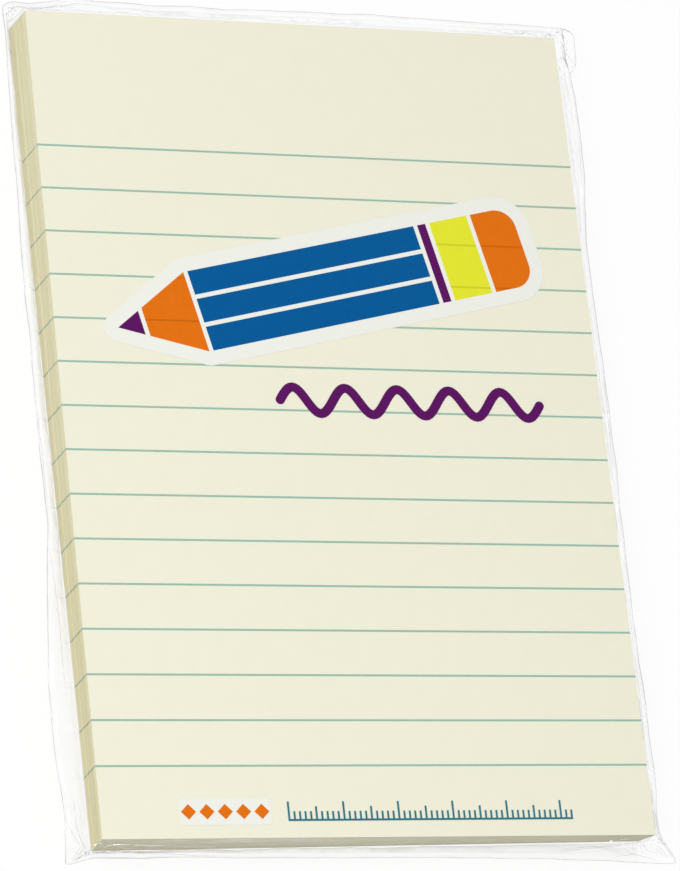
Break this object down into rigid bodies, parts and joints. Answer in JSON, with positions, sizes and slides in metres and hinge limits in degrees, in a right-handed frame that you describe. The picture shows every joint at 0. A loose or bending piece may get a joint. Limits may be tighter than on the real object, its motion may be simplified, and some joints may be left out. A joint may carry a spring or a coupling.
{
  "type": "lined sticky note pad",
  "caption": "Pad of lined sticky notes, glued at the head and sealed in clear shrink film with a printed front.",
  "frame": {"origin": "on the plane that the pack rests on, under the middle of the writing face", "axes": "+X to the right across the sheets, +Y up the sheets to their glued edge, +Z out of the writing face"},
  "size_m": [0.1133, 0.1583, 0.0108],
  "materials": {
    "note_paper": "uncoated pale cream paper",
    "backing_paper": "smooth off-white release paper",
    "ruling_ink": "thin matte green-teal ink on paper",
    "clear_film": "clear glossy shrink film, 0.03 mm",
    "ink_pale": "translucent pale ink on glossy film",
    "ink_blue": "opaque blue ink on glossy film",
    "ink_lime": "lime ink on glossy film",
    "ink_orange": "orange ink on glossy film",
    "ink_plum": "plum ink on glossy film",
    "ink_teal": "teal ink on glossy film"
  },
  "bodies": {
    "root": {"note_block": "note_paper", "backing_sheet": "backing_paper", "ruled_lines": "ruling_ink", "film_wrap": "clear_film", "print_ground": "ink_pale", "print_blue": "ink_blue", "print_lime": "ink_lime", "print_orange": "ink_orange", "print_plum": "ink_plum", "print_teal": "ink_teal"}
  },
  "joints": []
}
